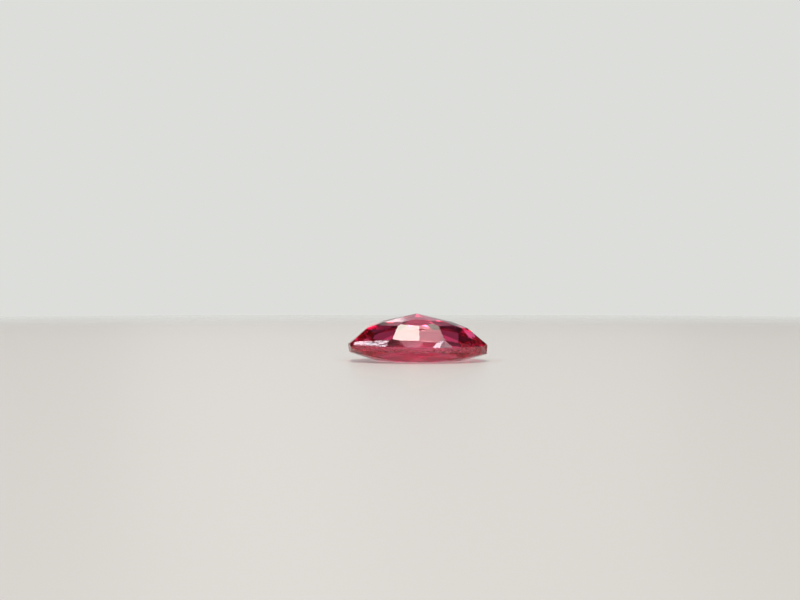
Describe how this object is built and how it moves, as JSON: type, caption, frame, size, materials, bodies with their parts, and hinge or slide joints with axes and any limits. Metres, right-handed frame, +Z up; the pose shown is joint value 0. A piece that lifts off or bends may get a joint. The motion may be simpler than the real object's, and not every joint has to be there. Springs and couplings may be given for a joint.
{
  "type": "faceted ruby gemstone",
  "caption": "Loose oval ruby in a mixed cut, lying table-down: a low brilliant crown, a thick ground girdle and a stepped pavilion rising to a point.",
  "frame": {"origin": "in the table facet's plane, which is the lowest face because the stone lies table-down, under the middle of the stone's length and width", "axes": "+Z up, from the table to the point of the pavilion; +X along the stone's length; -Y is the side seen in the picture"},
  "size_m": [0.006, 0.0046, 0.002],
  "materials": {
    "ruby": "clear pinkish-red crystal, polished facets, ground matte girdle"
  },
  "bodies": {
    "root": {"ruby": "ruby"}
  },
  "joints": []
}
